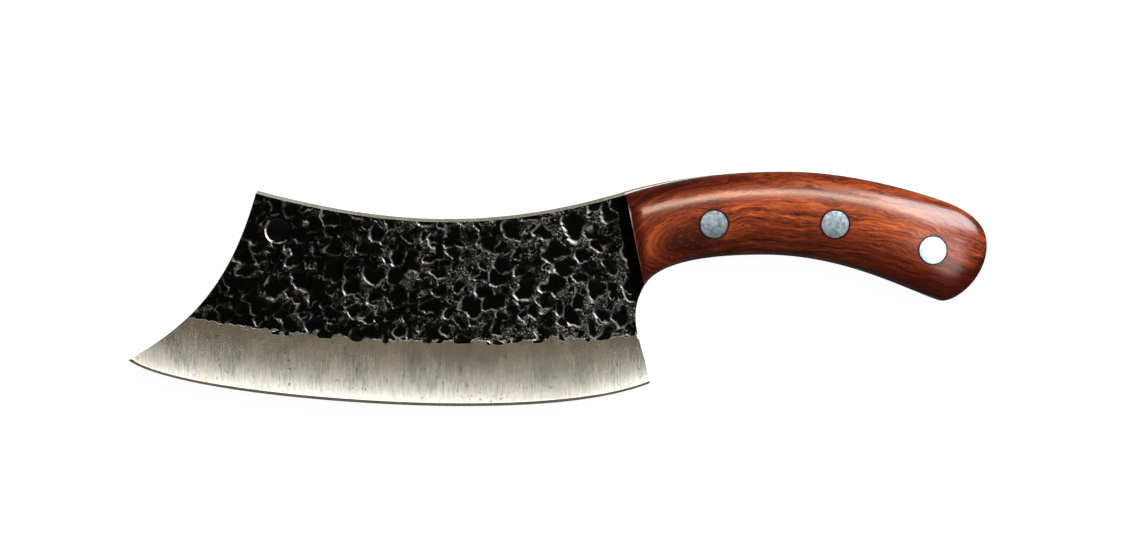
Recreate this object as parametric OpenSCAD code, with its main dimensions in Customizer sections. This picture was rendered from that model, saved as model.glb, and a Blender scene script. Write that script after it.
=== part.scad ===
// Meat cleaver: one forged blade with a full tang, two wooden scales and three
// two-part rivets. It lies on its right side, with +X from the point to the butt,
// +Y from the cutting edge to the spine, and +Z up out of its left face.
// The origin is under the middle of its box, on the surface that it lies on.
// Lengths are millimetres.

/* [Blade] */
// Length over all, from the point to the butt
overall_length = 300; // [240:5:360]
// Thickness of the forged plate
blade_thickness = 4; // [3:0.25:5]
// Width of the ground bevel, up from the cutting edge
bevel_width = 23; // [16:1:26]
// Width of the bevel where it runs out at the heel
bevel_width_heel = 19.5; // [14:0.5:24]
// Width of the honed strip along the cutting edge
honed_width = 0.8; // [0.4:0.1:1.5]
// Thickness where the honed strip starts
honed_thickness = 0.7; // [0.4:0.1:1]
// Thickness left at the cutting edge itself
edge_thickness = 0.12; // [0.1:0.02:0.2]
// Width of the chamfer along both sides of the spine
spine_chamfer = 1.2; // [0.6:0.1:1.5]
// Diameter of the hanging hole near the point
hole_diameter = 8.4; // [6:0.2:9]
// Width of the chamfer round the hanging hole
hole_chamfer = 0.4; // [0.2:0.1:0.6]

/* [Handle] */
// Depth ground off each side of the tang, where the scales are bedded
tang_step = 0.2; // [0.1:0.05:0.5]
// Thickness of each scale at its fullest
scale_thickness = 8.4; // [7:0.2:11]
// Thickness of each scale's rim, along the tang
rim_thickness = 1.6; // [1:0.2:2.5]
// Roundness of the scales: 2 is an ellipse, more is squarer
scale_roundness = 2.3; // [2:0.1:3]
// Length over which each scale rounds down to its front end
nose_length = 4; // [3:0.5:8]
// Height of each scale's front end
nose_height = 6; // [4:0.2:6.4]
// Length over which each scale rounds down to the butt
butt_length = 40; // [20:1:50]
// How far the tang stands proud of the scales' backs at their front end
tang_proud = 1.3; // [0:0.1:1.5]

/* [Rivets] */
// Diameter of the rivet heads
head_diameter = 9.6; // [8:0.2:11]
// Outer diameter of the tubular half's shank
tube_diameter = 5.6; // [5:0.2:6.4]
// Diameter of the solid half's shank, pressed into the tube
pin_diameter = 3.6; // [3:0.2:4]
// Clearance round heads and shanks in wood and steel
rivet_clearance = 0.05; // [0.02:0.01:0.1]

/* [Hidden] */

// The outline is drawn 300 mm long, and size scales it.
drawn_length = 300;
size = overall_length / drawn_length;
tang_thickness = blade_thickness - 2 * tang_step;
mid_height = tang_thickness / 2 + scale_thickness;
over = 0.5;

// The outline's corners and joints.
point = [-150, -25];
edge_low = [-33, -41];
heel = [32.5, -33];
neck = [31, 2];
grip_low = [72.5, 12];
butt_low = [134, -4];
butt_end = [150, 15.5];
butt_high = [135.5, 30.5];
crest = [80, 41];
shoulder = [25, 34.5];
spine_tip = [-105, 34.5];

// Cubic curves between them, counter-clockwise from the point.
edge_fore = [point, [-134.5, -35.5], [-71, -41], edge_low];
edge_aft = [edge_low, [-13, -41], [14.5, -40], heel];
choil = [heel, [30, -18], [23.5, -10.5], neck];
belly_fore = [neck, [36.5, 9.5], [52.5, 12], grip_low];
belly_aft = [grip_low, [100.5, 12], [122, 0], butt_low];
butt_lower = [butt_low, [138, -5], [150, 3], butt_end];
butt_upper = [butt_end, [150, 23], [143.5, 27.5], butt_high];
back_aft = [butt_high, [117, 37], [97, 41], crest];
back_fore = [crest, [60, 41], [41, 39], shoulder];
spine = [shoulder, [-24, 19.5], [-62, 23], spine_tip];
front = [spine_tip, [-115, -2.5], [-131.5, -14], point];

// The scales' front end leans with the line between these two points.
scale_top = [24, 34.2];
scale_foot = [30.3, 0.9];

// The tang's proud strip and its chamfer fade out along the back, up to here.
fade_end = 64;
function fade(x) = max(0, min(1, (fade_end * size - x) / (size * (fade_end - shoulder[0]))));

hole_centre = [-97.5, 20.5];
curve_steps = 14;
dome_steps = 14;
nose_ease = 1.6;
round_fn = 64;

// Each rivet's centre, and how far its heads' seats lie below the scales' crowns.
rivet_centres = [[54.5, 22.5], [96.5, 22.5], [130.5, 13.5]];
seat_depths = [2.4, 2.4, 4.2];
head_root = 0.3;
FRONT = 0;
MIDDLE = 1;
REAR = 2;

steel = [0.45, 0.45, 0.44];
wood = [0.42, 0.15, 0.07];
rivet_steel = [0.72, 0.75, 0.78];

function cubic(c, t) = pow(1 - t, 3) * c[0] + 3 * pow(1 - t, 2) * t * c[1]
  + 3 * (1 - t) * pow(t, 2) * c[2] + pow(t, 3) * c[3];
function curve(c, ease = 1) = [for (i = [0:curve_steps - 1])
  size * cubic(c, pow(i / curve_steps, ease))];
function backwards(c) = [for (i = [3:-1:0]) c[i]];

// Faces of a swept solid: rings of n points, each clockwise seen from the first one's
// outside, joined by pairs of triangles and capped at both ends.
function ring_faces(rings, n) = concat(
  [[for (i = [0:n - 1]) i]],
  [for (r = [0:rings - 2], i = [0:n - 1]) let (j = (i + 1) % n, a = r * n, b = a + n)
    each [[a + i, b + i, b + j], [a + i, b + j, a + j]]],
  [[for (i = [n - 1:-1:0]) (rings - 1) * n + i]]
);

module sweep(rings) {
  n = len(rings[0]);
  polyhedron([for (r = rings, p = r) p], ring_faces(len(rings), n), convexity = 8);
}

// ---- Blade ----

blade_curves = [edge_fore, edge_aft, choil, belly_fore, belly_aft, butt_lower,
  butt_upper, back_aft, back_fore, spine, front];

module outline() polygon([for (c = blade_curves, p = curve(c)) p]);

// The bevel's width narrows over the last stretch before the heel.
narrowing_from = 0;
function bevel_at(x) = x < narrowing_from * size ? bevel_width
  : bevel_width + (bevel_width_heel - bevel_width)
    * min(1, (x - narrowing_from * size) / (size * (heel[0] - narrowing_from)));

// One station of the steel that grinding takes off the left face, at p on the edge.
function ground_off(p) = let (
  half = blade_thickness / 2,
  w = bevel_at(p[0]),
  slope = (half - honed_thickness / 2) / (w - honed_width),
  clear = over / slope
) [
  [p[0], p[1] - over, edge_thickness / 2],
  [p[0], p[1], edge_thickness / 2],
  [p[0], p[1] + honed_width, honed_thickness / 2],
  [p[0], p[1] + w + clear, half + over],
  [p[0], p[1] - over, half + over],
];

// The edge, carried straight on past the point and the heel.
edge_line = let (line = concat(curve(edge_fore), curve(edge_aft), [size * heel])) concat(
  [line[0] - (line[1] - line[0])], line, [size * heel + [over * 2, over]]);

module bevel_cut() sweep([for (p = edge_line) ground_off(p)]);

// One station of the spine's chamfer on the left face.
function spine_off(p) = let (half = blade_thickness / 2, width = spine_chamfer * fade(p[0])) [
  [p[0], p[1] - width - over, half + over],
  [p[0], p[1] + over, half + over],
  [p[0], p[1] + over, half - width - over],
];

// The spine's chamfer starts where it fades in, and is carried straight on past the front.
spine_line = concat(
  [for (p = curve(back_fore)) if (fade(p[0]) > 0) p],
  curve(spine), [size * spine_tip, size * (spine_tip + [-2, 0.6])]);

module spine_cut() sweep([for (p = spine_line) spine_off(p)]);

// The tang is ground flat on the left face, from just ahead of the scales' front end back.
tang_lead = 0.4;
module tang_cut() {
  lean = scale_top - scale_foot;
  start = [for (p = [scale_top + 0.1 * lean, scale_foot - 0.1 * lean]) size * p - [tang_lead, 0]];
  translate([0, 0, tang_thickness / 2])
    linear_extrude(tang_step + over)
      polygon(concat(start, size * [[160, -10], [160, 50]]));
}

module hanging_hole() {
  half = blade_thickness / 2;
  translate(size * hole_centre) {
    cylinder(h = blade_thickness + 2 * over, d = hole_diameter, center = true, $fn = round_fn);
    for (side = [0, 1]) mirror([0, 0, side])
      translate([0, 0, half - hole_chamfer])
        cylinder(h = 2 * hole_chamfer, d1 = hole_diameter, d2 = hole_diameter + 4 * hole_chamfer,
          $fn = round_fn);
  }
}

module blade() {
  color(steel) difference() {
    linear_extrude(blade_thickness, center = true) outline();
    for (side = [0, 1]) mirror([0, 0, side]) {
      bevel_cut();
      spine_cut();
      tang_cut();
    }
    hanging_hole();
    for (c = rivet_centres) translate(size * c)
      cylinder(h = blade_thickness + 2 * over, d = tube_diameter + 2 * rivet_clearance,
        center = true, $fn = round_fn);
  }
}

// ---- Scales ----

// A scale's back and belly lines, station by station from its front end to the butt.
back_line = [for (p = concat([size * scale_top], curve(backwards(back_fore), nose_ease),
  curve(backwards(back_aft)), curve(backwards(butt_upper)))) p - [0, tang_proud * fade(p[0])]];
belly_line = concat([size * scale_foot], curve(belly_fore, nose_ease),
  curve(belly_aft), curve(butt_lower));

// Share of the full dome at a station: less over the nose, and down to the rim at the butt.
function rounding(s) = sqrt(1 - pow(1 - min(1, max(0, s)), 2));
function dome_share(back, belly) = let (
  middle = (back + belly) / 2,
  run = norm(middle - size * (scale_top + scale_foot) / 2),
  nose = (nose_height - rim_thickness) / (scale_thickness - rim_thickness),
  tail = size * butt_end[0] - middle[0]
) min(nose + (1 - nose) * rounding(run / nose_length), rounding(tail / butt_length));

// One station: the dome from back to belly, closed along the tang.
function scale_ring(back, belly) = let (
  share = dome_share(back, belly),
  base = tang_thickness / 2,
  rise = (scale_thickness - rim_thickness) * share
) concat(
  [[back[0], back[1], base]],
  [for (i = [0:dome_steps]) let (
    s = cos(180 * i / dome_steps),
    p = (belly + back) / 2 + (back - belly) / 2 * s,
    dome = pow(max(0, 1 - pow(abs(s), scale_roundness)), 1 / scale_roundness)
  ) [p[0], p[1], base + rim_thickness + rise * dome]],
  [[belly[0], belly[1], base]]
);

module scale_blank() {
  last = len(back_line) - 1;
  sweep([for (i = [0:last]) scale_ring(back_line[i], belly_line[i])]);
}

module left_scale() difference() {
  scale_blank();
  for (r = [FRONT:REAR]) translate(size * rivet_centres[r]) {
    cylinder(h = mid_height + over, d = tube_diameter + 2 * rivet_clearance, $fn = round_fn);
    translate([0, 0, seat_height(r)])
      cylinder(h = scale_thickness, d = head_diameter + 2 * rivet_clearance, $fn = round_fn);
  }
}

// ---- Rivets ----

// The height of a rivet's seats above and below the blade's mid-plane.
function seat_height(r) = mid_height - seat_depths[r];

// A head on the left side, ground flush with the scale.
module head(r) intersection() {
  translate([each size * rivet_centres[r], seat_height(r)])
    cylinder(h = scale_thickness, d = head_diameter, $fn = round_fn);
  scale_blank();
}

module rivet_pin(r) color(rivet_steel) {
  seat = seat_height(r);
  union() {
    head(r);
    translate([each size * rivet_centres[r], -seat])
      cylinder(h = 2 * seat + head_root, d = pin_diameter, $fn = round_fn);
  }
}

module rivet_tube(r) color(rivet_steel) {
  seat = seat_height(r);
  difference() {
    union() {
      mirror([0, 0, 1]) head(r);
      translate([each size * rivet_centres[r], -seat - head_root])
        cylinder(h = 2 * seat, d = tube_diameter, $fn = round_fn);
    }
    translate([each size * rivet_centres[r], -seat])
      cylinder(h = 2 * seat + over, d = pin_diameter + rivet_clearance, $fn = round_fn);
  }
}

module lifted() translate([0, 0, mid_height]) children();

lifted() blade();
lifted() color(wood) left_scale();  // scale_left
lifted() color(wood) mirror([0, 0, 1]) left_scale();  // scale_right
lifted() rivet_pin(FRONT);  // rivet_front_pin
lifted() rivet_tube(FRONT);  // rivet_front_tube
lifted() rivet_pin(MIDDLE);  // rivet_middle_pin
lifted() rivet_tube(MIDDLE);  // rivet_middle_tube
lifted() rivet_pin(REAR);  // rivet_rear_pin
lifted() rivet_tube(REAR);  // rivet_rear_tube
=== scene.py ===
"""Looks for a hand-forged meat cleaver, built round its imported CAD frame.

It lies on its right side: +X from the point to the butt, +Y from the edge to the spine, +Z up.
Lengths are millimetres until to_object() writes a mesh, which is in metres.
"""

import math

import bmesh
import bpy
import numpy as np
from mathutils import Matrix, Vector
from mathutils.geometry import delaunay_2d_cdt
from mathutils.kdtree import KDTree


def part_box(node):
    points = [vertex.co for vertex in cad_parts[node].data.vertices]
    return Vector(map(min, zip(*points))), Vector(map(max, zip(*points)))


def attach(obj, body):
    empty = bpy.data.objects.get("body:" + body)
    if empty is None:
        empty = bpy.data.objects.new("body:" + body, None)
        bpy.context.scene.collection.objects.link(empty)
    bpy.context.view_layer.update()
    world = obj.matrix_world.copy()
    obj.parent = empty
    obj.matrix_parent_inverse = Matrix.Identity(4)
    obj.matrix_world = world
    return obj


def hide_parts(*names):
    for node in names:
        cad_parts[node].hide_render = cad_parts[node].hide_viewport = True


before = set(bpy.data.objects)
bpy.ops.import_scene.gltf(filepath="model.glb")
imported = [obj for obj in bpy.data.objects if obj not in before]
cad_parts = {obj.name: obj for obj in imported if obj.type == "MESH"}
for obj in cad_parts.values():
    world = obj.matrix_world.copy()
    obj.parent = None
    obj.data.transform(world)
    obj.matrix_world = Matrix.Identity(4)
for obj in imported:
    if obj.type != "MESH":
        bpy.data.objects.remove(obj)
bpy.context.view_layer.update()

MM = 0.001

# ---- Sizes, in millimetres ----

# The plate: its middle plane, and half its thickness. The tang's faces are sunk a little.
blade_low, blade_high = (np.array(corner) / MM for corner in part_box("blade"))
MID = (blade_low[2] + blade_high[2]) / 2
HALF = (blade_high[2] - blade_low[2]) / 2
TANG_SUNK = 0.2
TANG_HALF = HALF - TANG_SUNK

# A scale: its height on the tang, the straight wall at its rim, the power that rounds its section,
# its blunt nose, and how far its butt is rounded.
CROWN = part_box("scale_left")[1][2] / MM - MID - TANG_HALF
RIM = 1.6
ROUNDNESS = 2.3
NOSE_LENGTH = 4.0
NOSE_HEIGHT = 6.0
BUTT_LENGTH = 40.0

# The tang stands proud of the scales' back by this much at their front, and by nothing at FADE_END.
TANG_PROUD = 1.3
FADE_END = 64.0

# The rivets: a head, its bore in the scale, and its shank, which ends past the middle plane. Last
# comes how far a head's seat is below the scale's crown.
HEAD_RADIUS = 4.8
HEAD_PROUD = 0.03
HEAD_EASE = 0.14
BORE_RADIUS = 5.0
SHANK_RADII = {"pin": 1.8, "tube": 2.8}
SHANK_END = -6.0
SEAT_DEPTHS = {"front": 2.4, "middle": 2.4, "rear": 4.2}

# The hanging hole, the chamfers, how far the skin beside the spine's is sunk, and the eased edges.
HOLE = np.array([-97.5, 20.5])
HOLE_RADIUS = 4.2
HOLE_CHAMFER = 0.45
SPINE_CHAMFER = 1.15
SPINE_SUNK = 0.12
EASED_EDGE = 0.3

# The grinding: a honed strip along the edge, and a slightly bulging bevel above it.
EDGE_HALF = 0.06
HONED_WIDTH = 1.1
HONED_HALF = 0.46
BEVEL_WIDTH = 24.2
BEVEL_WIDTH_HEEL = 20.6
BEVEL_BULGE = 0.45

# The hammered face stops at a smooth strip, this wide, ahead of the scales.
STRIP_WIDTH = 3.3
STRIP_FADE = 1.3
STRIP_SUNK = 0.16

# How far apart points lie along the outline, how many go round a circle, and how far apart
# staggered rows of loose points are, as a share of their spacing.
FINE_STEP = 0.55
HONED_STEP = 0.5
COARSE_STEP = 1.6
ROUND_STEPS = 64
ROW_PITCH = 0.866

# The outline's corners and the places where its curves meet.
POINT = (-150, -25)
EDGE_LOW = (-33, -41)
HEEL = (32.5, -33)
NECK = (31, 2)
GRIP_LOW = (72.5, 12)
BUTT_LOW = (134, -4)
BUTT_END = (150, 15.5)
BUTT_HIGH = (135.5, 30.5)
CREST = (80, 41)
SHOULDER = (25, 34.5)
SPINE_TIP = (-105, 34.5)
SCALE_TOP = (24, 34.2)
SCALE_FOOT = (30.3, 0.9)

# The blade's outline: cubic curves, counter-clockwise from the point.
OUTLINE = {
    "edge_fore": (POINT, (-134.5, -35.5), (-71, -41), EDGE_LOW),
    "edge_aft": (EDGE_LOW, (-13, -41), (14.5, -40), HEEL),
    "choil": (HEEL, (30, -18), (23.5, -10.5), NECK),
    "belly_fore": (NECK, (36.5, 9.5), (52.5, 12), GRIP_LOW),
    "belly_aft": (GRIP_LOW, (100.5, 12), (122, 0), BUTT_LOW),
    "butt_lower": (BUTT_LOW, (138, -5), (150, 3), BUTT_END),
    "butt_upper": (BUTT_END, (150, 23), (143.5, 27.5), BUTT_HIGH),
    "back_aft": (BUTT_HIGH, (117, 37), (97, 41), CREST),
    "back_fore": (CREST, (60, 41), (41, 39), SHOULDER),
    "spine": (SHOULDER, (-24, 19.5), (-62, 23), SPINE_TIP),
    "front": (SPINE_TIP, (-115, -2.5), (-131.5, -14), POINT),
}
TANG_CURVES = ("belly_fore", "belly_aft", "butt_lower", "butt_upper", "back_aft")

# The side of each hammer mark, and of the hole's rim, that is worn bright: towards the point and
# the edge. Its walls face the lamps, so the brightness there is worn steel and a painted highlight.
RUBBED_AND_LIT_SIDE = np.array([-0.75, -0.66])


# ---- Curves ----

def cubic(curve, t):
    """Points on a cubic curve at each t."""
    a, b, c, d = (np.array(p, float) for p in curve)
    t = np.asarray(t, float)[:, None]
    return (1 - t) ** 3 * a + 3 * (1 - t) ** 2 * t * b + 3 * (1 - t) * t ** 2 * c + t ** 3 * d


def sample(curve, step):
    """Points evenly spaced along a curve, without its last one."""
    fine = cubic(curve, np.linspace(0, 1, 400))
    run = np.concatenate([[0], np.cumsum(np.linalg.norm(np.diff(fine, axis=0), axis=1))])
    at = np.linspace(0, run[-1], max(2, round(run[-1] / step)) + 1)[:-1]
    return np.column_stack([np.interp(at, run, fine[:, k]) for k in (0, 1)])


def outline_line(names, end, step=FINE_STEP):
    """Points along the named curves of the outline, in a row, with the last one's end."""
    return np.vstack([sample(OUTLINE[name], step) for name in names] + [[end]])


def inset(points, width):
    """A closed counter-clockwise loop's points, moved inwards."""
    along = np.roll(points, -1, axis=0) - np.roll(points, 1, axis=0)
    along /= np.linalg.norm(along, axis=1)[:, None]
    return points + width * np.column_stack([-along[:, 1], along[:, 0]])


def circle(centre, radius):
    """Points round a circle, counter-clockwise."""
    turn = np.arange(ROUND_STEPS) * 2 * math.pi / ROUND_STEPS
    return np.array(centre) + radius * np.column_stack([np.cos(turn), np.sin(turn)])


def lattice(low, high, spacing):
    """A rectangle's worth of points in staggered rows, all about a spacing apart."""
    x = np.arange(low[0], high[0], spacing)
    y = np.arange(low[1], high[1], spacing * ROW_PITCH)
    grid = np.stack(np.meshgrid(x, y), axis=-1)
    grid[1::2, :, 0] += spacing / 2
    return grid.reshape(-1, 2)


def nearest(points, line):
    """The number of the line's sample nearest to each point."""
    tree = KDTree(len(line))
    for number, (x, y) in enumerate(line):
        tree.insert((x, y, 0), number)
    tree.balance()
    return np.array([tree.find((x, y, 0))[1] for x, y in points], int)


def distance(points, line):
    """How far each point is from a sampled line, by the straight parts beside its nearest sample."""
    at = nearest(points, line)
    far = np.full(len(points), np.inf)
    for step in (-1, 0):
        first = np.clip(at + step, 0, len(line) - 2)
        along = line[first + 1] - line[first]
        share = ((points - line[first]) * along).sum(axis=1) / (along ** 2).sum(axis=1)
        gap = points - line[first] - np.clip(share, 0, 1)[:, None] * along
        far = np.minimum(far, np.linalg.norm(gap, axis=1))
    return far


def inside(points, loop):
    """Which points lie inside a closed loop."""
    x, y = points[:, 0], points[:, 1]
    hit = np.zeros(len(points), bool)
    for a, b in zip(loop, np.roll(loop, -1, axis=0)):
        if a[1] != b[1]:
            spans = (a[1] > y) != (b[1] > y)
            hit ^= spans & (x < (b[0] - a[0]) * (y - a[1]) / (b[1] - a[1]) + a[0])
    return hit


def smooth(low, high, value):
    """0 below low and 1 above high, with a smooth turn between; high may be the lower one."""
    t = np.clip((value - low) / (high - low), 0, 1)
    return t * t * (3 - 2 * t)


def fade(x):
    """1 at the scales' front end, falling to 0 where the tang's proud strip runs out."""
    return np.clip((FADE_END - x) / (FADE_END - SHOULDER[0]), 0, 1)


# ---- Meshes ----

def to_object(name, vertices, faces, material_of=None, sharp=35):
    """Makes an object from millimetre vertices. material_of gives each face's material number, and
    sharp is the angle, in degrees, from which a crease is left unsmoothed."""
    mesh = bpy.data.meshes.new(name)
    mesh.from_pydata((np.asarray(vertices) * MM).tolist(), [], [list(map(int, f)) for f in faces])
    mesh.validate()
    mesh.polygons.foreach_set("use_smooth", [True] * len(mesh.polygons))
    mesh.set_sharp_from_angle(angle=math.radians(sharp))
    if material_of is not None:
        mesh.polygons.foreach_set("material_index", material_of)
    mesh.update()
    thing = bpy.data.objects.new(name, mesh)
    bpy.context.scene.collection.objects.link(thing)
    return thing


def add_attribute(thing, name, values):
    """Stores a number at each vertex, for the materials to read."""
    made = thing.data.attributes.new(name, "FLOAT", "POINT")
    made.data.foreach_set("value", np.asarray(values, np.float32))


def fix_normals(thing):
    """Turns every face outwards."""
    work = bmesh.new()
    work.from_mesh(thing.data)
    bmesh.ops.recalc_face_normals(work, faces=work.faces)
    work.to_mesh(thing.data)
    work.free()


def walls_between(ring, other):
    """Four-sided faces from one ring of vertices to another, vertex by vertex."""
    return np.column_stack([ring, other, np.roll(other, -1), np.roll(ring, -1)]).tolist()


def triangulate(loops, points):
    """A constrained triangulation of closed loops and loose points. The first loop is the outer
    one and the others are holes. It gives the points, the triangles, and each loop's points."""
    everything = np.vstack(loops + [points])
    edges, start = [], 0
    for loop in loops:
        count = len(loop)
        edges += [(start + i, start + (i + 1) % count) for i in range(count)]
        start += count
    made, _, faces, origin, _, _ = delaunay_2d_cdt(everything.tolist(), edges, [], 0, 1e-5)
    made = np.array([tuple(v) for v in made])
    faces = np.array([f for f in faces if len(f) == 3])
    middle = made[faces].mean(axis=1)
    keep = inside(middle, loops[0])
    for hole in loops[1:]:
        keep &= ~inside(middle, hole)
    faces = faces[keep]
    place = {old: new for new, olds in enumerate(origin) for old in olds}
    start, rings = 0, []
    for loop in loops:
        rings.append([place[start + i] for i in range(len(loop))])
        start += len(loop)
    used = np.unique(faces)
    number = np.full(len(made), -1)
    number[used] = np.arange(len(used))
    return made[used], number[faces], [number[ring] for ring in rings]


# ---- Noise ----

def lattice_noise(points, size, seed):
    """Smooth noise from -1 to 1 whose bumps are about size across."""
    table = np.random.default_rng(seed).uniform(-1, 1, (256, 256))
    cell = np.floor(points / size).astype(int)
    part = points / size - cell
    part = part ** 3 * (part * (part * 6 - 15) + 10)
    i, j = cell[:, 0] & 255, cell[:, 1] & 255
    k, m = (i + 1) & 255, (j + 1) & 255
    low = table[i, j] * (1 - part[:, 0]) + table[k, j] * part[:, 0]
    high = table[i, m] * (1 - part[:, 0]) + table[k, m] * part[:, 0]
    return low * (1 - part[:, 1]) + high * part[:, 1]


def wander(points, seed):
    """How far a hammer mark's outline strays at each point, along one axis."""
    return 1.4 * lattice_noise(points, 3.2, seed) + 0.4 * lattice_noise(points, 1.2, seed + 1)


# ---- The blade's surface ----

EDGE_LINE = outline_line(("edge_fore", "edge_aft"), HEEL, HONED_STEP)
SPINE_LINE = outline_line(("back_fore", "spine"), SPINE_TIP)
FRONT_LINE = outline_line(("front",), POINT)
CHOIL_LINE = outline_line(("choil",), NECK)
BEVEL_END = HEEL[0] + 1


def spine_chamfer(x):
    """Width of the bright chamfer along the spine."""
    return SPINE_CHAMFER * fade(x)


def above_edge(points):
    """Height over the cutting edge, up the blade."""
    return points[:, 1] - np.interp(points[:, 0], EDGE_LINE[:, 0], EDGE_LINE[:, 1])


def bevel_width(x):
    """How far up the blade the bevel reaches."""
    return np.interp(x, (0, HEEL[0]), (BEVEL_WIDTH, BEVEL_WIDTH_HEEL))


def above_bevel(points):
    """Height over the bevel's upper line."""
    return above_edge(points) - bevel_width(points[:, 0])


def ahead_of_scale(points):
    """How far a point lies ahead of the scales' front end."""
    top, foot = np.array(SCALE_TOP), np.array(SCALE_FOOT)
    lean = (foot - top) / np.linalg.norm(foot - top)
    out = np.array([lean[1], -lean[0]])
    return (points - top) @ out


def outside_hole(points):
    """How far a point lies outside the hanging hole's rim."""
    return np.linalg.norm(points - HOLE, axis=1) - HOLE_RADIUS


def ground_height(points):
    """Half thickness that grinding leaves: bevel, honed strip and chamfers."""
    above = above_edge(points)
    share = (above - HONED_WIDTH) / (bevel_width(points[:, 0]) - HONED_WIDTH)
    bulge = BEVEL_BULGE * np.clip(share * (1 - share), 0, 1)
    bevel = HONED_HALF + (HALF - HONED_HALF) * share + bulge
    honed = EDGE_HALF + (HONED_HALF - EDGE_HALF) * above / HONED_WIDTH
    height = np.minimum(bevel, honed)
    height[points[:, 0] > BEVEL_END] = HALF
    for line, width in (
        (SPINE_LINE, spine_chamfer(points[:, 0]) + SPINE_SUNK),
        (FRONT_LINE, EASED_EDGE),
        (CHOIL_LINE, EASED_EDGE),
    ):
        height = np.minimum(height, HALF - width + distance(points, line))
    return np.minimum(height, HALF - HOLE_CHAMFER + outside_hole(points))


# Two sets of hammer marks, large and small, each on a jittered grid. start and full are heights
# over the bevel's upper line, between which a set comes in.
MARK_SETS = (
    {"spacing": 6.1, "sizes": (1.3, 4.2), "depths": (0.22, 0.60), "start": -4.5, "full": 0.5},
    {"spacing": 4.2, "sizes": (0.5, 1.4), "depths": (0.10, 0.25), "start": 0.5, "full": 3.5},
)
MARK_CORNER = (-152, -44)
MARK_SPAN = (190, 90)
MARK_PITCH = 0.87
MARK_JITTER = 0.48
MARK_SQUASH = (0.55, 1.0)


def draw_marks(random, spacing, sizes, depths):
    """Hammer marks on a jittered grid: each one's centre, size, squash, turn and depth."""
    for row in range(int(MARK_SPAN[1] / spacing) + 2):
        for column in range(int(MARK_SPAN[0] / spacing) + 2):
            across = MARK_CORNER[0] + (column + 0.5 * (row % 2)) * spacing
            centre = np.array([across, MARK_CORNER[1] + row * spacing * MARK_PITCH])
            centre += random.uniform(-MARK_JITTER, MARK_JITTER, 2) * spacing
            size = random.uniform(*sizes)
            squash = random.uniform(*MARK_SQUASH)
            turn = random.uniform(0, math.pi)
            yield centre, size, squash, turn, random.uniform(*depths)


def hammer_marks(points, seed):
    """Overlapping hammer marks: their depth below the plate's face, how far a point is into one,
    and how far it is up the bright wall of one, part wear and part painted highlight on its lit side."""
    random = np.random.default_rng(seed)
    bent = points + np.column_stack([wander(points, seed + 1), wander(points, seed + 3)])
    order = np.argsort(bent[:, 0])
    bent = bent[order]
    above = above_bevel(points)[order]
    depth, floor, wall = np.zeros((3, len(points)))
    for marks in MARK_SETS:
        drawn = draw_marks(random, marks["spacing"], marks["sizes"], marks["depths"])
        for centre, size, squash, turn, sink in drawn:
            near = np.arange(*np.searchsorted(bent[:, 0], (centre[0] - size, centre[0] + size)))
            near = near[np.abs(bent[near, 1] - centre[1]) < size]
            gap = bent[near] - centre
            u = (gap[:, 0] * math.cos(turn) + gap[:, 1] * math.sin(turn)) / size
            v = (gap[:, 1] * math.cos(turn) - gap[:, 0] * math.sin(turn)) / (size * squash)
            reach = np.sqrt(u * u + v * v)
            # A shallow dish with a steep wall, worn bright up its rim, most of all on the side whose wall
            # faces the lamps: a painted highlight there.
            bowl = 0.25 * np.clip(1 - reach ** 2, 0, 1) + 0.75 * smooth(1, 0.68, reach)
            bowl *= sink * smooth(marks["start"], marks["full"], above[near])
            facing = gap @ RUBBED_AND_LIT_SIDE / np.maximum(np.linalg.norm(gap, axis=1), 0.01)
            rubbed_and_lit = smooth(0.74, 0.86, reach) * smooth(1.0, 0.95, reach)
            rubbed_and_lit *= 0.05 + 0.95 * smooth(-0.3, 0.6, facing)
            wall[near] = np.where(bowl > depth[near], rubbed_and_lit, wall[near])
            depth[near] = np.maximum(depth[near], bowl)
            floor[near] = np.maximum(floor[near], smooth(1, 0.75, reach))
    back = np.argsort(order)
    return depth[back], floor[back], wall[back]


def forged_depth(points, seed):
    """Depth of the hammered face below the plate's face: gritty between its marks, smooth on the
    strip ahead of the scales, and flush beside the spine's chamfer. It also gives how far a point
    is into a mark, up a mark's bright wall, part wear and part painted highlight, and into the strip."""
    depth, floor, wall = hammer_marks(points, seed)
    # The ground between the marks is gritty, less so where the skin nears the bevel.
    grit = 0.10 * np.abs(lattice_noise(points, 1.5, seed + 5)) + 0.05 * lattice_noise(points, 0.8, seed + 6)
    grit *= 0.25 + 0.75 * smooth(0.5, 4.5, above_bevel(points))
    waves = 0.04 * (1 + lattice_noise(points, 16, seed + 7))
    depth = depth + (1 - 0.9 * floor) * (0.04 + grit) + waves
    strip_edge = ahead_of_scale(points) + 0.5 * lattice_noise(points, 2.5, seed + 8)
    strip = smooth(STRIP_WIDTH + STRIP_FADE, STRIP_WIDTH, strip_edge)
    depth = depth * (1 - strip) + STRIP_SUNK * strip
    flush = spine_chamfer(points[:, 0]) + SPINE_SUNK
    beside = smooth(0.8, 0.1, distance(points, SPINE_LINE) - flush)
    depth = depth * (1 - beside) + SPINE_SUNK * beside
    return np.maximum(depth, 0), floor, wall, strip


# Loose points fill this rectangle. Fine ones reach FINE_BELOW under the bevel's upper line and
# FINE_BEHIND behind the scales' front end, and the tang's lie over TANG_LOW.
LATTICE_LOW = (-151, -42)
LATTICE_HIGH = (151, 42)
FINE_BELOW = 6.5
FINE_BEHIND = 1.5
BEVEL_SPACING = 1.1
TANG_SPACING = 3.0
TANG_LOW = -8

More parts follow.
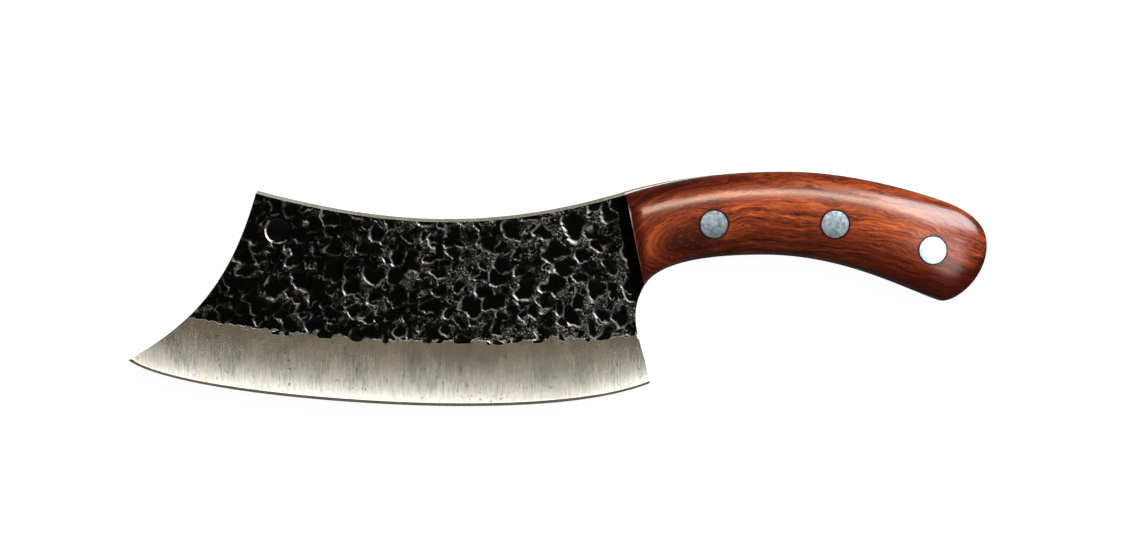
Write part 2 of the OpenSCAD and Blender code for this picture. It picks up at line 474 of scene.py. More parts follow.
# Rows of points follow the boundaries. Loose ones keep clear of them.
HONED_ROWS = (0.4, HONED_WIDTH - 0.02, HONED_WIDTH + 0.02, HONED_WIDTH + 0.12, HONED_WIDTH + 0.6)
TANG_ROWS = (1.0,)
EASED_ROWS = (EASED_EDGE, 0.7)
HOLE_ROWS = (0.22, HOLE_CHAMFER, 0.75)
WIDEST_ROW = 2.1
ROW_CLEARANCE = 0.2
HOLE_CLEARANCE = 1.0


def blade_points(spacing):
    """Loose points over the blade: fine where it is hammered, coarse on the bevel and the tang."""
    spacings = (spacing, BEVEL_SPACING, TANG_SPACING)
    fine, middling, coarse = (lattice(LATTICE_LOW, LATTICE_HIGH, each) for each in spacings)
    is_hammered = (above_bevel(fine) > -FINE_BELOW) & (ahead_of_scale(fine) > -FINE_BEHIND)
    is_bevel = (above_bevel(middling) <= -FINE_BELOW) & (middling[:, 0] < BEVEL_END)
    is_tang = (ahead_of_scale(coarse) <= -FINE_BEHIND) & (coarse[:, 1] > TANG_LOW)
    return np.vstack([fine[is_hammered], middling[is_bevel], coarse[is_tang]])


def boundary_rows(name, part):
    """How far inside a stretch of the outline its rows of loose points run, from the outer row."""
    if name.startswith("edge"):
        widths = HONED_ROWS
    elif name in ("spine", "back_fore"):
        chamfer = spine_chamfer(part[:, :1])
        widths = (chamfer / 3, chamfer * 2 / 3, chamfer, chamfer + 0.25)
    elif name in TANG_CURVES:
        widths = TANG_ROWS
    else:
        widths = EASED_ROWS
    return [np.broadcast_to(width, (len(part), 1)) for width in widths]


def blade_face(spacing):
    """One face of the blade: its points, triangles, and boundary loops."""
    parts = {}
    for name, curve in OUTLINE.items():
        parts[name] = sample(curve, COARSE_STEP if name in TANG_CURVES else FINE_STEP)
    loop = np.vstack(list(parts.values()))
    inwards = inset(loop, 1.0) - loop
    loose, reach, start = [], [], 0
    for name, part in parts.items():
        stretch = slice(start, start + len(part))
        for width in boundary_rows(name, part):
            row = part + width * inwards[stretch]
            is_clear = distance(row, loop) > np.maximum(0.9 * width[:, 0], 0.1)
            loose.append(row[is_clear & inside(row, loop)])
        reach.append(width[:, 0])
        start += len(part)
    loose += [circle(HOLE, HOLE_RADIUS + width) for width in HOLE_ROWS]

    body = blade_points(spacing)
    body = body[inside(body, loop)]
    gap = distance(body, loop)
    limit = np.full(len(body), FINE_STEP)
    near = gap < WIDEST_ROW
    innermost = np.concatenate(reach)[nearest(body[near], loop)]
    limit[near] = np.maximum(FINE_STEP, innermost + ROW_CLEARANCE)
    loose.append(body[(gap > limit) & (outside_hole(body) > HOLE_CLEARANCE)])
    return triangulate([loop, circle(HOLE, HOLE_RADIUS)[::-1]], np.vstack(loose))


def face_heights(points, seed):
    """A face's height over the blade's middle plane, and the attributes its material reads."""
    depth, floor, wall, strip = forged_depth(points, seed)
    tang = smooth(0.45, 0.3, ahead_of_scale(points))
    forged = (HALF - depth) * (1 - tang) + TANG_HALF * tang
    ground = ground_height(points)
    rim = outside_hole(points)
    # cut is positive where the steel is bare. The hole's chamfer is bare only on its side that faces the
    # lamps: a painted highlight.
    is_bright = ((points - HOLE) @ RUBBED_AND_LIT_SIDE > 0) & (rim < HOLE_CHAMFER + 0.05)
    cut = np.where(rim < 1, np.where(is_bright, 1, -1), forged - ground)
    return np.minimum(forged, ground), {
        "cut": cut,
        "mark": floor,
        "wall": wall * (rim > 1),
        "strip": np.maximum(strip, tang),
        "above": above_edge(points),
    }


# Each face's side of the plate, seed, and spacing of points. The hidden right face is coarser.
FACES = ((1, 40, 0.38), (-1, 170, 0.6))


def make_blade():
    """The forged blade with its tang, as one closed mesh."""
    vertices, faces, attributes, rims, base = [], [], [], [], 0
    for sign, seed, spacing in FACES:
        points, triangles, rings = blade_face(spacing)
        heights, values = face_heights(points, seed)
        vertices.append(np.column_stack([points, MID + sign * heights]))
        faces += (base + (triangles if sign > 0 else triangles[:, ::-1])).tolist()
        attributes.append(values)
        rims.append([base + ring for ring in rings])
        base += len(points)
    walls = []
    for top, bottom in zip(*rims):
        walls += walls_between(top, bottom)
    blade = to_object("forged_blade", np.vstack(vertices), faces + walls,
                      [0] * len(faces) + [1] * len(walls), sharp=30)
    for name in attributes[0]:
        add_attribute(blade, name, np.concatenate([values[name] for values in attributes]))
    return blade


# ---- The scales ----

# t is a place along a scale, from 0 at its front end to T_BUTT.
T_BUTT = 3.0
HALVINGS = 40


def back_and_belly(t):
    """The scales' back and belly lines at each t."""
    t = np.asarray(t, float)
    back = np.zeros((len(t), 2))
    belly = np.zeros((len(t), 2))
    pairs = (("back_fore", "belly_fore"), ("back_aft", "belly_aft"), ("butt_upper", "butt_lower"))
    for number, (high, low) in enumerate(pairs):
        here = (t >= number) & (t <= number + 1)
        part = t[here] - number
        back[here] = cubic(OUTLINE[high][::-1], part)
        belly[here] = cubic(OUTLINE[low], part)
    front = smooth(0.05, 0, t)[:, None]
    back += front * (np.array(SCALE_TOP) - SHOULDER)
    belly += front * (np.array(SCALE_FOOT) - NECK)
    back[:, 1] -= TANG_PROUD * fade(back[:, 0])
    return back, belly


def rounding(share):
    """The height of a quarter circle, from 0 where share is 0 to 1 where it is 1."""
    return np.sqrt(np.clip(1 - (1 - np.clip(share, 0, 1)) ** 2, 0, 1))


def dome(t, s):
    """Points on a scale's dome: t along it, and s from -1 at the belly to 1 at the back."""
    back, belly = back_and_belly(t)
    middle = (back + belly) / 2
    place = middle + (back - belly) / 2 * s[:, None]
    run = np.linalg.norm(middle - (np.array(SCALE_TOP) + SCALE_FOOT) / 2, axis=1)
    nose = (NOSE_HEIGHT - RIM) / (CROWN - RIM)
    share = np.minimum(nose + (1 - nose) * rounding(run / NOSE_LENGTH),
                       rounding((BUTT_END[0] - middle[:, 0]) / BUTT_LENGTH))
    bow = np.clip(1 - np.abs(s) ** ROUNDNESS, 0, 1) ** (1 / ROUNDNESS)
    return np.column_stack([place, TANG_HALF + RIM + (CROWN - RIM) * share * bow])


def find_on_dome(points):
    """The t and s of places on the dome, by halving the span that t lies in."""
    low, high = np.zeros(len(points)), np.full(len(points), T_BUTT)
    for _ in range(HALVINGS):
        t = (low + high) / 2
        back, belly = back_and_belly(t)
        across, gap = back - belly, points - belly
        past = across[:, 0] * gap[:, 1] - across[:, 1] * gap[:, 0] < 0
        low, high = np.where(past, t, low), np.where(past, high, t)
    back, belly = back_and_belly(t)
    across, gap = back - belly, points - (back + belly) / 2
    return t, 2 * (gap * across).sum(axis=1) / (across ** 2).sum(axis=1)


def rivet_centre(place):
    """The middle of a rivet, seen from above."""
    low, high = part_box(f"rivet_{place}_pin")
    return np.array([(low[k] + high[k]) / 2 / MM for k in (0, 1)])


def seat_height(place):
    """How far over the blade's middle plane a rivet head is seated."""
    return TANG_HALF + CROWN - SEAT_DEPTHS[place]


# A scale is triangulated flat: t, and the turn from its belly to its back, times these lengths.
T_LENGTH = 46.0
TURN_LENGTH = 20.0
T_STEP = 0.0135
T_END = 2.985
FIRST_STEPS = 12
FIRST_END = 0.1
TURN_ROWS = 53
BORE_CLEARANCE = 0.35


def scale_grid():
    """The flat grid of a scale's dome, finer at the front end: its border, and the points inside."""
    first = np.linspace(0, 1, FIRST_STEPS)[:-1] ** 2 * FIRST_END
    t = np.concatenate([first, np.arange(FIRST_END, T_END, T_STEP), [T_END]])
    turn = np.linspace(0, math.pi, TURN_ROWS)
    grid = np.stack(np.meshgrid(t * T_LENGTH, turn * TURN_LENGTH, indexing="ij"), axis=-1)
    border = np.vstack([grid[:-1, 0], grid[-1, :-1], grid[:0:-1, -1], grid[0, :0:-1]])
    return border, grid[1:-1, 1:-1].reshape(-1, 2)


def painted_rim_shade(places, s):
    """How much each place is darkened, up to 1: painted shade at the scales' rims, and a dark ring round
    the rivets.
    """
    x = places[:, 0]
    ahead = ahead_of_scale(places)
    # Painted shade: darker along the belly, most of all at the butt; then along the back, most at the
    # front.
    dark = np.maximum(smooth(-0.05, 0.65, -s) * (0.75 + 0.25 * smooth(80, 130, x)),
                      smooth(0.4, 0.85, s) * (0.35 + 0.65 * smooth(100, 40, x)))
    # Painted shade at the front end, in a narrow band and a broad faint one.
    dark = np.maximum(dark, 0.9 * smooth(-8, 0, ahead))
    dark = np.maximum(dark, 0.35 * smooth(-32, -6, ahead))
    for place in SEAT_DEPTHS:
        gap = np.linalg.norm(places - rivet_centre(place), axis=1) - BORE_RADIUS
        dark = np.maximum(dark, smooth(0.8, 0.1, gap))
    return dark


def make_scale(name, sign):
    """One scale: its dome with a counterbore for each rivet head, walls, and base."""
    border, loose = scale_grid()
    loops, levels = [border], [TANG_HALF]
    for place in SEAT_DEPTHS:
        bore_t, bore_s = find_on_dome(circle(rivet_centre(place), BORE_RADIUS))
        bore = np.column_stack([bore_t * T_LENGTH, np.arccos(-bore_s) * TURN_LENGTH])
        loose = loose[~inside(loose, inset(bore, -BORE_CLEARANCE))]
        loops.append(bore)
        levels.append(seat_height(place))
    flat, triangles, rings = triangulate(loops, loose)
    s = -np.cos(flat[:, 1] / TURN_LENGTH)
    vertices = dome(flat[:, 0] / T_LENGTH, s)
    rim = painted_rim_shade(vertices[:, :2], s)
    faces = triangles.tolist()
    for ring, level in zip(rings, levels):
        ends = len(vertices) + np.arange(len(ring))
        vertices = np.vstack([vertices, np.column_stack([vertices[ring, :2], np.full(len(ring), level)])])
        faces += walls_between(ring, ends)
        faces.append(ends.tolist())
    vertices[:, 2] = MID + sign * vertices[:, 2]
    if sign < 0:
        faces = [face[::-1] for face in faces]
    scale = to_object(name, vertices, faces, sharp=40)
    fix_normals(scale)
    add_attribute(scale, "rim", np.concatenate([rim, np.ones(len(vertices) - len(rim))]))
    return scale


# ---- The rivets ----

HEAD_STEPS = (0.001, 0.8, 1.6, 2.4, 3.2, 3.9, 4.4, HEAD_RADIUS - HEAD_EASE)


def make_rivet_half(name, place, half, sign):
    """A head ground flush with the scale, with a softened rim, and its shank."""
    centre = rivet_centre(place)
    rings = [circle(centre, radius) for radius in HEAD_STEPS]
    heights = [dome(*find_on_dome(ring))[:, 2] + HEAD_PROUD for ring in rings]
    seat = seat_height(place)
    for radius, height in (
        (HEAD_RADIUS, heights[-1] - HEAD_EASE),
        (HEAD_RADIUS, seat),
        (SHANK_RADII[half], seat),
        (SHANK_RADII[half], SHANK_END),
    ):
        rings.append(circle(centre, radius))
        heights.append(np.broadcast_to(height, ROUND_STEPS))
    levels = [np.column_stack([ring, MID + sign * height]) for ring, height in zip(rings, heights)]
    vertices = np.vstack(levels)
    numbers = np.arange(len(vertices)).reshape(-1, ROUND_STEPS)
    faces = []
    for ring, following in zip(numbers, numbers[1:]):
        faces += walls_between(ring, following)
    faces += [numbers[0].tolist(), numbers[-1][::-1].tolist()]
    rivet = to_object(name, vertices, faces, sharp=30)
    fix_normals(rivet)
    return rivet


# ---- Shader nodes ----

def node(tree, kind, sockets=None, **settings):
    """Adds a shader node. sockets maps an input to a value or to another node's output."""
    made = tree.nodes.new("ShaderNode" + kind)
    for key, value in settings.items():
        setattr(made, key, value)
    set_sockets(tree, made, sockets or {})
    return made


def set_sockets(tree, made, sockets):
    """Sets or links a node's inputs."""
    for key, value in sockets.items():
        if isinstance(value, bpy.types.NodeSocket):
            tree.links.new(value, made.inputs[key])
        else:
            made.inputs[key].default_value = value


def math_node(tree, operation, a, b=0.0, clamp=False):
    """A maths node's result. a and b are numbers or other nodes' outputs, as in all that follow."""
    return node(tree, "Math", {0: a, 1: b}, operation=operation, use_clamp=clamp).outputs[0]


def add(tree, a, b):
    return math_node(tree, "ADD", a, b)


def subtract(tree, a, b):
    return math_node(tree, "SUBTRACT", a, b)


def multiply(tree, a, b, clamp=False):
    return math_node(tree, "MULTIPLY", a, b, clamp)


def between(tree, value, low, high, to_low=0.0, to_high=1.0):
    """Maps low..high to to_low..to_high, clamped, with a smooth turn."""
    sockets = {"Value": value, "From Min": low, "From Max": high, "To Min": to_low, "To Max": to_high}
    return node(tree, "MapRange", sockets, interpolation_type="SMOOTHSTEP").outputs["Result"]


def between_linear(tree, value, low, high):
    """Maps 0..1 to low..high."""
    return node(tree, "MapRange", {"Value": value, "To Min": low, "To Max": high}).outputs["Result"]


def blend_numbers(tree, share, a, b):
    """Blends from number a to number b, which are a Mix node's inputs 2 and 3."""
    return node(tree, "Mix", {"Factor": share, 2: a, 3: b}).outputs[0]


def blend_colours(tree, share, a, b, how="MIX"):
    """Blends from colour a to colour b, or, by "MULTIPLY", to the product of the two. They are a Mix
    node's inputs 6 and 7."""
    made = node(tree, "Mix", {"Factor": share}, data_type="RGBA", blend_type=how)
    for socket, value in ((made.inputs[6], a), (made.inputs[7], b)):
        if isinstance(value, bpy.types.NodeSocket):
            tree.links.new(value, socket)
        else:
            socket.default_value = (*value, 1)
    return made.outputs[2]


def colour_ramp(tree, value, stops):
    """Colours a value by (position, colour) stops, in order."""
    made = node(tree, "ValToRGB", {0: value})
    ramp = made.color_ramp
    ramp.elements[0].position = stops[0][0]
    ramp.elements[1].position = stops[-1][0]
    for position, _ in stops[1:-1]:
        ramp.elements.new(position)
    for element, (_, colour) in zip(ramp.elements, stops):
        element.color = (*colour, 1)
    return made.outputs[0]


def noise(tree, place, scale, detail=3.0, roughness=0.55, stretch=None):
    """Noise from 0 to 1. scale is its bumps per unit of place, and stretch scales each axis."""
    if stretch is not None:
        place = node(tree, "Mapping", {"Vector": place, "Scale": stretch}).outputs[0]
    sockets = {"Vector": place, "Scale": scale, "Detail": detail, "Roughness": roughness}
    return node(tree, "TexNoise", sockets).outputs["Fac"]


def attribute(tree, name):
    """A number that add_attribute() stored."""
    return node(tree, "Attribute", attribute_name=name).outputs["Fac"]


def millimetres(tree, place):
    """A place's x, y and z in millimetres."""
    split = node(tree, "SeparateXYZ", {0: place})
    return [multiply(tree, split.outputs[k], 1 / MM) for k in range(3)]


def combine(tree, x, y, z=0.0):
    """A place for noise(), from its three coordinates."""
    return node(tree, "CombineXYZ", {0: x, 1: y, 2: z}).outputs[0]


def bump(tree, height, depth, normal=None):
    """A normal from a height from 0 to 1 that stands for depth millimetres."""
    sockets = {"Height": height, "Distance": depth * MM, "Strength": 1.0}
    if normal is not None:
        sockets["Normal"] = normal
    return node(tree, "Bump", sockets).outputs[0]


def new_material(name):
    """A material and its tree, object-space place in metres, and shader."""
    material = bpy.data.materials.new(name)
    material.use_nodes = True
    tree = material.node_tree
    tree.nodes.clear()
    shader = node(tree, "BsdfPrincipled")
    node(tree, "OutputMaterial", {"Surface": shader.outputs[0]})
    return material, tree, node(tree, "TexCoord").outputs["Object"], shader


# ---- Materials, in linear colours ----

OXIDE_LOW = (0.0004, 0.0004, 0.0003)
OXIDE_HIGH = (0.003, 0.003, 0.0027)
OXIDE_WORN = (0.15, 0.15, 0.135)
OXIDE_RUBBED_AND_LIT = (0.095, 0.098, 0.10)


def forge_skin(tree, place):
    """The hammered skin's colour, metal share, roughness, grit, and high ground: black in the marks
    and on the smooth strip, whose black is in part a painted shadow of the scales' front end, greyer
    and gritty on the worn ground between marks, and bright on the marks' walls that face the lamps,
    which is worn steel and in part a painted highlight. It is worn in patches, and more towards the handle."""
    mark, strip, wall = (attribute(tree, name) for name in ("mark", "strip", "wall"))
    grit = noise(tree, place, 1700, detail=4, roughness=0.7)
    along = node(tree, "SeparateXYZ", {0: place}).outputs[0]
    # How worn this patch of the skin is.
    patch = add(tree, between_linear(tree, noise(tree, place, 240), 0.0, 0.55),
                between_linear(tree, noise(tree, place, 80, detail=2), 0.0, 0.45))
    patch = add(tree, patch, along)

    buried = between_linear(tree, noise(tree, place, 150, detail=2), -0.1, 1.7)
    buried = multiply(tree, mark, buried, clamp=True)
    high = between(tree, add(tree, buried, multiply(tree, grit, 0.5)), 0.75, 0.25)
    # The smooth strip ahead of the scales stays black: dark oxide, and in part a painted shadow of the
    # scales' front end.
    high = multiply(tree, high, between(tree, strip, 0.6, 0.1))
    high = multiply(tree, high, between(tree, patch, 0.42, 0.58))
    worn = multiply(tree, high, between(tree, grit, 0.50, 0.70))
    # The marks' walls worn bright, most on their lit side: a painted highlight.
    rubbed_and_lit = multiply(tree, wall, between(tree, patch, 0.36, 0.50, 0.06, 1.0))
    rubbed_and_lit = multiply(tree, rubbed_and_lit, between(tree, strip, 0.4, 0.1))

    colour = blend_colours(tree, high, OXIDE_LOW, OXIDE_HIGH)
    colour = blend_colours(tree, worn, colour, OXIDE_WORN)
    colour = blend_colours(tree, rubbed_and_lit, colour, OXIDE_RUBBED_AND_LIT)
    metal = math_node(tree, "MAXIMUM", multiply(tree, worn, 0.4), rubbed_and_lit)
    rough = add(tree, between(tree, high, 0.1, 0.7, 0.22, 0.32), multiply(tree, grit, 0.10))
    return colour, metal, blend_numbers(tree, strip, rough, 0.15), grit, high


STEEL_DARK = (0.55, 0.54, 0.48)
STEEL_LIGHT = (0.66, 0.655, 0.60)
STEEL_SMEARED = (0.44, 0.40, 0.33)
STEEL_TINTED = (0.50, 0.44, 0.32)
STEEL_SCRATCHED = (0.40, 0.38, 0.34)
STEEL_SPECKED = (0.22, 0.20, 0.17)


def ground_steel(tree, place):
    """The bevel's colour, roughness and scratches, which run up from the edge: smeared, scratched
    and specked, with a warm tint towards the bevel's top."""
    above = attribute(tree, "above")
    along = millimetres(tree, place)[0]
    brushed = combine(tree, along, multiply(tree, above, 0.05))
    lines = noise(tree, brushed, 2.2, detail=2, roughness=0.6)
    smears = noise(tree, place, 110, detail=5, roughness=0.6, stretch=(1, 0.6, 1))
    scratches = noise(tree, brushed, 1.6, detail=4, roughness=0.75, stretch=(1, 2.4, 1))
    specks = noise(tree, place, 700, detail=2)

    colour = blend_colours(tree, lines, STEEL_DARK, STEEL_LIGHT)
    for share, toned in (
        (between(tree, smears, 0.45, 0.75, 0.0, 0.6), STEEL_SMEARED),
        (between(tree, above, 7.0, 21.0, 0.0, 0.5), STEEL_TINTED),
        (between(tree, scratches, 0.50, 0.66, 0.0, 0.55), STEEL_SCRATCHED),
        (between(tree, specks, 0.65, 0.72, 0.0, 0.8), STEEL_SPECKED),
    ):
        colour = blend_colours(tree, share, colour, toned)
    rough = add(tree, multiply(tree, lines, 0.08), between(tree, smears, 0.3, 0.7, 0.08, 0.12))
    return colour, rough, lines


def forged_steel():
    """The blade's faces: forge skin, cut through by ground steel wherever the grinding reached."""
    material, tree, place, shader = new_material("forged_steel")
    ragged = multiply(tree, noise(tree, place, 1500), 0.03)
    is_ground = between(tree, subtract(tree, attribute(tree, "cut"), ragged), -0.02, -0.008)
    skin_colour, skin_metal, skin_rough, grit, high = forge_skin(tree, place)
    steel_colour, steel_rough, lines = ground_steel(tree, place)

    grit_share = multiply(tree, subtract(tree, 1.0, is_ground), add(tree, multiply(tree, high, 0.9), 0.1))
    gritty = bump(tree, multiply(tree, grit, grit_share), 0.22)
    set_sockets(tree, shader, {
        "Base Color": blend_colours(tree, is_ground, skin_colour, steel_colour),
        "Metallic": math_node(tree, "MAXIMUM", is_ground, skin_metal),
        "Roughness": blend_numbers(tree, is_ground, skin_rough, steel_rough),
        "Specular IOR Level": 0.02,
        "Normal": bump(tree, multiply(tree, lines, is_ground), 0.0025, gritty),
    })
    return material


def cut_steel():
    """The blade's sides: ground steel with fine scratches."""
    material, tree, place, shader = new_material("cut_steel")
    lines = noise(tree, place, 900, detail=4, roughness=0.7, stretch=(1, 1, 8))
    set_sockets(tree, shader, {
        "Base Color": blend_colours(tree, lines, (0.36, 0.35, 0.32), (0.60, 0.59, 0.56)),
        "Metallic": 1.0,
        "Roughness": add(tree, multiply(tree, lines, 0.2), 0.28),
        "Normal": bump(tree, lines, 0.02),
    })
    return material


# The grain follows the handle's arch: it sags by this share of the square of the way from its crest.
GRAIN_CREST = CREST[0] - 4.0
GRAIN_SAG = 0.0031

# The rosewood's colours from its darkest grain to its lightest, by the grain's tone.
WOOD_TONES = (
    (0.37, (0.018, 0.0024, 0.0010)),
    (0.46, (0.10, 0.0135, 0.0028)),
    (0.54, (0.20, 0.036, 0.0080)),
    (0.64, (0.34, 0.082, 0.019)),
)
WOOD_LINE = (0.016, 0.0035, 0.002)
WOOD_KNOT = (0.030, 0.004, 0.002)
WOOD_FLECK = (0.34, 0.11, 0.04)
WOOD_PORE = (0.012, 0.003, 0.0015)
RIM_SHADE_TINT = (0.20, 0.07, 0.05)


def grain_level(tree, place, x, y, knot, ripple):
    """How far over a knot's own line of grain each place is, in millimetres."""
    waves = noise(tree, place, 42, stretch=(1, 2.4, 1))
    from_crest = subtract(tree, x, GRAIN_CREST)
    sag = multiply(tree, multiply(tree, from_crest, from_crest), GRAIN_SAG)
    level = subtract(tree, add(tree, y, sag), knot[1] + GRAIN_SAG * (knot[0] - GRAIN_CREST) ** 2)
    level = add(tree, level, between_linear(tree, waves, -3.5, 3.5))
    return add(tree, level, between_linear(tree, ripple, -0.9, 0.9))


def wood(name, knot, shift):
    """Oiled rosewood: grain that follows the handle and closes round a knot, pores and gloss. shift
    moves the grain's noise, so that two scales differ."""
    material, tree, place, shader = new_material(name)
    x, y, z = millimetres(tree, place)
    ripple = noise(tree, place, 170, stretch=(1, 2.0, 1))
    level = grain_level(tree, place, x, y, knot, ripple)
    past_knot = subtract(tree, x, knot[0])
    before = multiply(tree, math_node(tree, "MINIMUM", past_knot, 0.0), 0.55)
    ring = math_node(tree, "SQRT", add(tree, multiply(tree, before, before), multiply(tree, level, level)))
    grain = combine(tree, add(tree, ring, shift), multiply(tree, x, 0.07), multiply(tree, z, 0.12))
    broad = noise(tree, grain, 0.4, detail=2, roughness=0.5)
    fine = noise(tree, grain, 1.9, detail=5, roughness=0.7)
    streak = noise(tree, grain, 3.4, detail=3, roughness=0.6)
    from_knot = combine(tree, multiply(tree, past_knot, 0.6), level)
    from_knot = node(tree, "VectorMath", {0: from_knot}, operation="LENGTH").outputs["Value"]
    fleck_place = combine(tree, multiply(tree, x, 0.5), multiply(tree, level, 2.2), 7.0)
    flecks = noise(tree, fleck_place, 1.0, detail=2, roughness=0.5)
    pore_place = combine(tree, multiply(tree, x, 0.28), multiply(tree, level, 2.6), multiply(tree, z, 2.6))
    pores = between(tree, noise(tree, pore_place, 1.0, detail=2, roughness=0.5), 0.60, 0.70)

    tone = add(tree, multiply(tree, broad, 0.45), multiply(tree, fine, 0.55))
    colour = colour_ramp(tree, tone, WOOD_TONES)
    colour = blend_colours(tree, between(tree, streak, 0.54, 0.72, 0.0, 0.8), colour, WOOD_LINE)
    colour = blend_colours(tree, between(tree, from_knot, 8.5, 2.0, 0.0, 0.93), colour, WOOD_KNOT)
    colour = blend_colours(tree, between(tree, flecks, 0.60, 0.70, 0.0, 0.38), colour, WOOD_FLECK)
    # Painted shade at the rims and front end, and a dark ring round the rivets, multiplied in.
    colour = blend_colours(tree, attribute(tree, "rim"), colour, RIM_SHADE_TINT, "MULTIPLY")
    colour = blend_colours(tree, multiply(tree, pores, 0.6), colour, WOOD_PORE)
    hollow = subtract(tree, multiply(tree, fine, 0.35), pores)
    set_sockets(tree, shader, {
        "Base Color": colour,
        "Roughness": add(tree, multiply(tree, fine, 0.2), 0.36),
        "Specular IOR Level": 0.02,
        "Coat Weight": 0.66,
        "Coat Roughness": 0.20,
        "Normal": bump(tree, hollow, 0.035, bump(tree, ripple, 0.10)),
    })
    return material


def rivet_steel():
    """Blue-grey steel, ground by hand: mottled, finely pitted and scratched."""
    material, tree, place, shader = new_material("rivet_steel")
    mottle = noise(tree, place, 700, detail=4, roughness=0.65)
    scratches = noise(tree, place, 2400, stretch=(0.15, 1, 1))
    tone = between(tree, mottle, 0.3, 0.7)
    rough = add(tree, between(tree, mottle, 0.3, 0.7, 0.24, 0.30), multiply(tree, scratches, 0.05))
    set_sockets(tree, shader, {
        "Base Color": blend_colours(tree, tone, (0.30, 0.40, 0.51), (0.46, 0.59, 0.72)),
        "Metallic": 1.0,
        "Roughness": rough,
        "Normal": bump(tree, add(tree, mottle, multiply(tree, scratches, 0.4)), 0.035),
    })
    return material


# ---- The pieces ----

blade = make_blade()
blade.data.materials.append(forged_steel())
blade.data.materials.append(cut_steel())
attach(blade, "root")
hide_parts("blade")

# Each scale's side of the tang, the middle of its wood's knot, and its grain's shift.
for side, sign, knot, shift in (("left", 1, (47, 17.5), 0.0), ("right", -1, (112, 12.0), 40.0)):
    scale = make_scale(f"wooden_scale_{side}", sign)
    scale.data.materials.append(wood(f"rosewood_{side}", knot, shift))
    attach(scale, "root")
    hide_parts(f"scale_{side}")

steel = rivet_steel()
for place in SEAT_DEPTHS:
    for half, sign in (("pin", 1), ("tube", -1)):
        rivet = make_rivet_half(f"{place}_rivet_{half}", place, half, sign)
        rivet.data.materials.append(steel)
        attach(rivet, "root")
        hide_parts(f"rivet_{place}_{half}")


# ---- Floor, light and camera ----

# The floor, in millimetres: a fine grid round the cleaver's shade, in a wide square.
FLOOR_CORNER = (-160, -50)
FLOOR_STEP = 1.5
FLOOR_REACH = 4000
FLOOR_LEVEL = -0.3
FLOOR_GLOW = 0.96


def floor_shade(points):
    """How much shade is painted on the floor: a little under the cleaver, and wholly just below its hole.
    """
    loop = np.vstack([sample(curve, FLOOR_STEP) for curve in OUTLINE.values()])
    covered = np.where(inside(points, loop), distance(points, loop), 0)
    # A painted shadow: the floor is black just below the hanging hole.
    below_hole = smooth(8, 1.5, outside_hole(points)) * smooth(0, 4, covered)
    return np.maximum(0.8 * smooth(1, 12, covered), below_hole)


def floor_material():
    """Dull grey paint that glows near white to the camera alone, except where shade is painted on it; there
    the paint turns black too.
    """
    material, tree, place, shader = new_material("floor")
    is_open = attribute(tree, "open")
    seen = node(tree, "LightPath").outputs["Is Camera Ray"]
    mottled = blend_colours(tree, noise(tree, place, 8, detail=2), (0.12, 0.12, 0.12), (0.13, 0.13, 0.13))
    set_sockets(tree, shader, {
        "Base Color": blend_colours(tree, is_open, (0.01, 0.01, 0.01), mottled),
        "Roughness": 0.9,
        "Emission Color": (1, 1, 1, 1),
        "Emission Strength": multiply(tree, multiply(tree, is_open, seen), FLOOR_GLOW),
        "Specular IOR Level": 0.0,
    })
    return material


def make_floor():
    """A flat floor whose fine points, under the cleaver, carry its shade."""
    x, y = (np.arange(low, 1 - low, FLOOR_STEP) for low in FLOOR_CORNER)
    grid = np.stack(np.meshgrid(x, y), axis=-1).reshape(-1, 2)
    border = FLOOR_REACH * np.array([(-1, -1), (1, -1), (1, 1), (-1, 1)])
    points, faces, _ = triangulate([border], grid)
    floor = to_object("floor", np.column_stack([points, np.full(len(points), FLOOR_LEVEL)]), faces)
    add_attribute(floor, "open", 1 - floor_shade(points))
    floor.data.materials.append(floor_material())


# How far the lamps stand from the place that they face, in metres.
LAMP_REACH = 0.95
LAMP_TARGET = np.array([0.02, 0.0, 0.01])


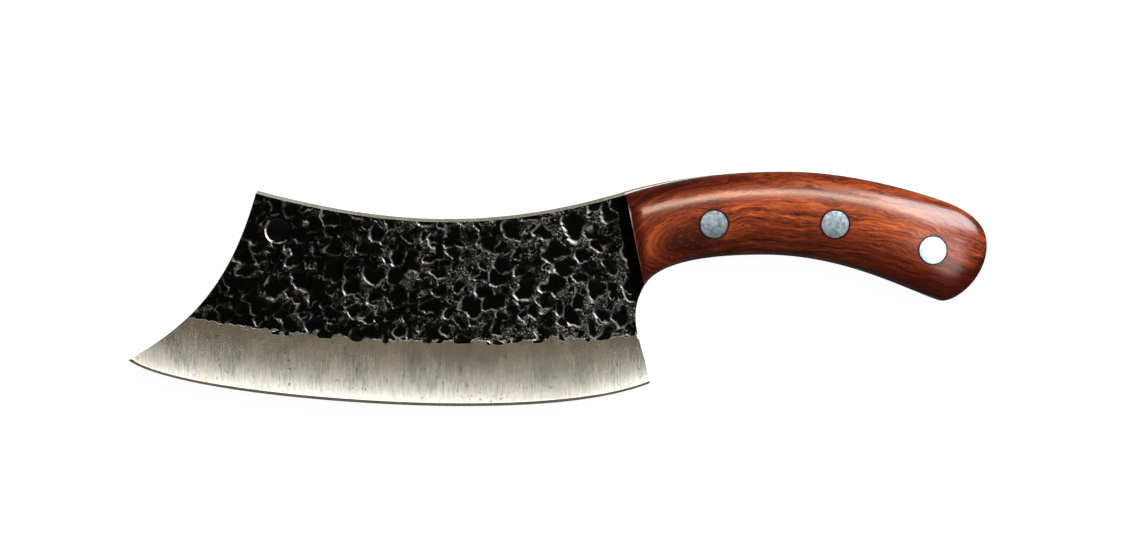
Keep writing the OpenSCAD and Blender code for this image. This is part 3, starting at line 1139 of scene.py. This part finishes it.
def softbox(name, lean_x, lean_y, wide, tall, radiance, colour=(1, 1, 1), turn=0.0, lights=None):
    """A rectangular lamp that leans from overhead by lean_x degrees towards +X and lean_y towards
    +Y, spans wide by tall degrees, and shines at radiance all over. It is turned about its own axis
    by turn degrees, and shielded from all but lights, if given."""
    lamp = bpy.data.lights.new(name, "AREA")
    lamp.shape = "RECTANGLE"
    lamp.size = 2 * LAMP_REACH * math.tan(math.radians(wide / 2))
    lamp.size_y = 2 * LAMP_REACH * math.tan(math.radians(tall / 2))
    lamp.energy = radiance * math.pi * lamp.size * lamp.size_y
    lamp.color = colour
    made = bpy.data.objects.new(name, lamp)
    away = np.array([math.tan(math.radians(lean_x)), math.tan(math.radians(lean_y)), 1.0])
    away /= np.linalg.norm(away)
    made.location = LAMP_TARGET + away * LAMP_REACH
    across = np.cross((math.sin(math.radians(turn)), math.cos(math.radians(turn)), 0), away)
    across /= np.linalg.norm(across)
    matrix = np.column_stack([across, np.cross(away, across), away])
    made.rotation_euler = Matrix(matrix.tolist()).to_euler()
    made.visible_camera = False
    bpy.context.scene.collection.objects.link(made)
    if lights is not None:
        made.light_linking.receiver_collection = bpy.data.collections.new(name)
        made.light_linking.receiver_collection.objects.link(lights)


def make_world():
    """A pale backdrop for the camera, and a dim warm fill for everything else."""
    world = bpy.data.worlds.new("studio")
    world.use_nodes = True
    tree = world.node_tree
    tree.nodes.clear()
    backdrop = node(tree, "Background", {"Color": (0.95, 0.95, 0.95, 1), "Strength": 1.0})
    fill = node(tree, "Background", {"Color": (1, 0.88, 0.66, 1), "Strength": 0.165})
    seen = node(tree, "LightPath").outputs["Is Camera Ray"]
    mixed = node(tree, "MixShader", {0: seen, 1: fill.outputs[0], 2: backdrop.outputs[0]})
    node(tree, "OutputWorld", {"Surface": mixed.outputs[0]})
    bpy.context.scene.world = world


# The camera's view, in metres at the blade: its width and its middle. The lens is in millimetres.
VIEW_WIDTH = 0.3955
VIEW_MIDDLE = (0.0028, 0.00735)
LENS = 100
SENSOR_WIDTH = 36


def make_camera():
    """A camera that looks straight down on the cleaver's left face."""
    lens = bpy.data.cameras.new("camera")
    lens.lens = LENS
    lens.sensor_width = SENSOR_WIDTH
    camera = bpy.data.objects.new("camera", lens)
    camera.location = (*VIEW_MIDDLE, MID * MM + VIEW_WIDTH * LENS / SENSOR_WIDTH)
    bpy.context.scene.collection.objects.link(camera)
    bpy.context.scene.camera = camera


make_floor()

# Each lamp's two leans and two spans, in degrees, and its radiance. The last two light only the blade.
softbox("side_light", 42, 38, 32, 28, 20)
softbox("strip_light", 7, 27, 34, 9, 25, (1, 0.76, 0.60))
softbox("butt_light", 29.5, -2, 17, 22, 5.2)
softbox("front_light", -5, -23.15, 46, 17, 3.6, turn=4.6, lights=blade)
softbox("back_light", 0, 83, 56, 12, 1.7, lights=blade)

make_world()
make_camera()
bpy.context.scene.view_settings.view_transform = "Standard"

bpy.context.view_layer.update()
